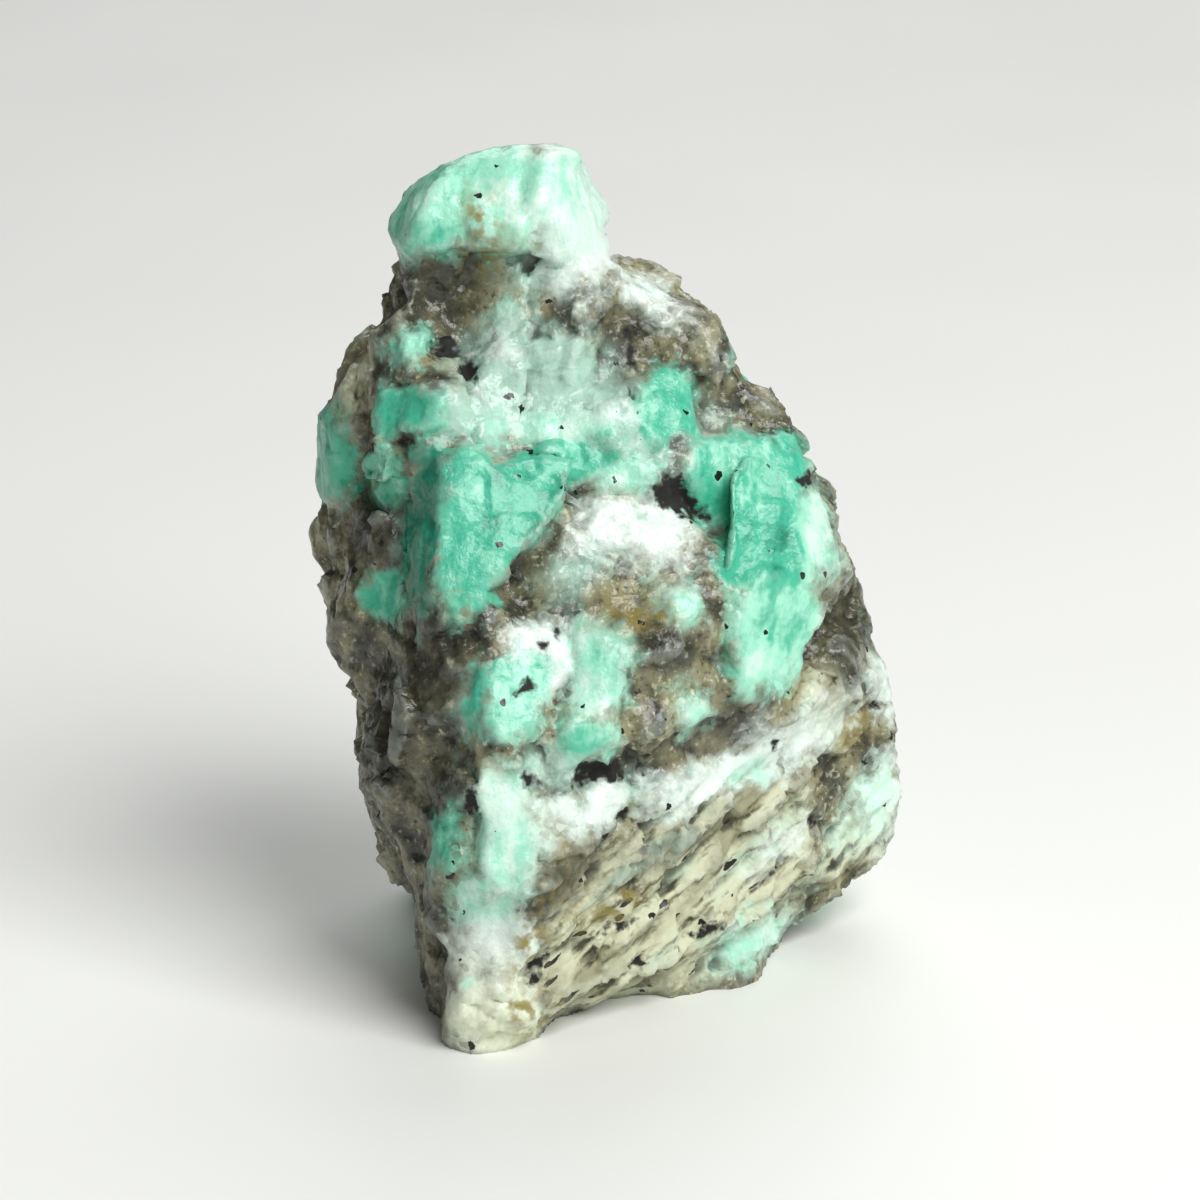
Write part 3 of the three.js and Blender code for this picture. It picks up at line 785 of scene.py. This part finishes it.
    # Small grains of the quartz catch the light one by one
    span = {"From Min": -GREEN_EDGE, "From Max": GREEN_EDGE, "To Min": 0.6, "To Max": 0.06}
    grainy = add(tree, "ShaderNodeMapRange", {"Value": inside["green"], **span}).outputs[0]
    glint = tilted_cells(tree, coordinate, 0.5 * MM)
    glint = add(tree, "ShaderNodeMath", {0: glint, 1: grainy}, operation="MULTIPLY").outputs[0]
    grit = signed_noise(tree, coordinate, 0.35 * MM, 3.0)
    raised = {0: grit, 1: 0.1 * MM, 2: glint}
    bump_height = add(tree, "ShaderNodeMath", raised, operation="MULTIPLY_ADD").outputs[0]
    bump = add(tree, "ShaderNodeBump", {"Strength": 0.6, "Distance": 1.0, "Height": bump_height}).outputs[0]

    shader = add(
        tree,
        "ShaderNodeBsdfPrincipled",
        {
            "Base Color": colour,
            "Roughness": rough,
            "Normal": bump,
            "IOR": 1.53,
        },
    )
    add(tree, "ShaderNodeOutputMaterial", {"Surface": shader.outputs[0]})
    return material


def floor_material(colour):
    """A painted studio floor: smooth, matt and nearly white, with a trace of unevenness."""
    material = bpy.data.materials.new("painted_floor_matt")
    material.use_nodes = True
    tree = material.node_tree
    tree.nodes.clear()
    coordinate = add(tree, "ShaderNodeTexCoord").outputs["Object"]
    uneven = add(tree, "ShaderNodeTexNoise", {"Vector": coordinate, "Scale": 1 / (40 * MM)}).outputs[0]
    rough = add(tree, "ShaderNodeMapRange", {"Value": uneven, "To Min": 0.42, "To Max": 0.55}).outputs[0]
    shader = add(tree, "ShaderNodeBsdfPrincipled", {"Base Color": (*colour, 1.0), "Roughness": rough})
    add(tree, "ShaderNodeOutputMaterial", {"Surface": shader.outputs[0]})
    return material


class AMAZONITE_OT_stone(bpy.types.Operator):
    """Builds the broken stone over its solid, with its minerals and relief"""

    bl_idname = "amazonite.stone"
    bl_label = "Broken stone"

    def execute(self, context):
        sizes = context.scene.amazonite_sizes
        mesh = even_skin(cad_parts[STONE_NODE], sizes.spacing)
        lay_minerals(mesh)
        stone = bpy.data.objects.new("rough_amazonite", mesh)
        context.scene.collection.objects.link(stone)
        material = amazonite_material(context.scene.amazonite_colours)
        tree = relief_tree(material)
        relief = stone.modifiers.new("relief", "NODES")
        relief.node_group = tree
        for socket in tree.interface.items_tree:
            if socket.in_out == "INPUT" and socket.socket_type == "NodeSocketFloat":
                relief[socket.identifier] = getattr(sizes, socket.name)
        broken = bpy.data.meshes.new_from_object(stone.evaluated_get(context.evaluated_depsgraph_get()))
        stone.modifiers.remove(relief)
        stone.data = broken
        bpy.data.meshes.remove(mesh)
        broken.shade_smooth()
        # How far each point lies in a hollow, read by the material for painted shade in hollows and a
        # painted highlight on raised points
        store(broken, "hollow", hollows(broken))
        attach(stone, "root")
        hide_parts(STONE_NODE)
        return {"FINISHED"}


class AMAZONITE_OT_stage(bpy.types.Operator):
    """Makes the pale floor, the soft studio lights and the camera"""

    bl_idname = "amazonite.stage"
    bl_label = "Studio"

    def execute(self, context):
        scene = context.scene
        floor_size = 3.0
        bpy.ops.mesh.primitive_plane_add(size=floor_size)
        floor = context.object
        floor.name = "floor"
        floor.data.materials.append(floor_material(scene.amazonite_colours.floor))

        # Each light: name, place, width and power
        lights = (
            ("key", (0.28, -0.30, 0.46), 0.40, 4.0),
            ("fill", (-0.45, -0.30, 0.25), 0.40, 0.1),
            ("back", (0.05, 0.45, 0.45), 0.50, 1.6),
        )
        for name, place, width, power in lights:
            lamp = bpy.data.lights.new(name, "AREA")
            lamp.size = width
            lamp.energy = power
            light = bpy.data.objects.new(name, lamp)
            light.location = place
            light.rotation_euler = (VIEW_TARGET - light.location).to_track_quat("-Z", "Y").to_euler()
            scene.collection.objects.link(light)
        world = bpy.data.worlds.new("studio")
        world.use_nodes = True
        world.node_tree.nodes["Background"].inputs["Color"].default_value = (1, 1, 1, 1)
        world.node_tree.nodes["Background"].inputs["Strength"].default_value = 0.1
        scene.world = world
        scene.view_settings.view_transform = "Standard"

        lens = bpy.data.cameras.new("camera")
        lens.lens = 150
        lens.clip_start = 0.01
        camera = bpy.data.objects.new("camera", lens)
        camera.location = VIEW_PLACE
        camera.rotation_euler = VIEW_AWAY.to_track_quat("-Z", "Y").to_euler()
        scene.collection.objects.link(camera)
        scene.camera = camera
        return {"FINISHED"}


class AMAZONITE_PT_panel(bpy.types.Panel):
    """Lists the stone's settings and the steps that build it"""

    bl_idname = "AMAZONITE_PT_panel"
    bl_label = "Rough amazonite"
    bl_space_type = "VIEW_3D"
    bl_region_type = "UI"
    bl_category = "Amazonite"

    def draw(self, context):
        for settings in (context.scene.amazonite_sizes, context.scene.amazonite_colours):
            for name in settings.__annotations__:
                self.layout.prop(settings, name)
        self.layout.operator(AMAZONITE_OT_stone.bl_idname)
        self.layout.operator(AMAZONITE_OT_stage.bl_idname)


CLASSES = (StoneSizes, StoneColours, AMAZONITE_OT_stone, AMAZONITE_OT_stage, AMAZONITE_PT_panel)


def register():
    for cls in CLASSES:
        bpy.utils.register_class(cls)
    bpy.types.Scene.amazonite_sizes = bpy.props.PointerProperty(type=StoneSizes)
    bpy.types.Scene.amazonite_colours = bpy.props.PointerProperty(type=StoneColours)


def unregister():
    del bpy.types.Scene.amazonite_colours
    del bpy.types.Scene.amazonite_sizes
    for cls in reversed(CLASSES):
        bpy.utils.unregister_class(cls)


def main():
    register()
    bpy.ops.amazonite.stone()
    bpy.ops.amazonite.stage()


if __name__ == "__main__":
    main()
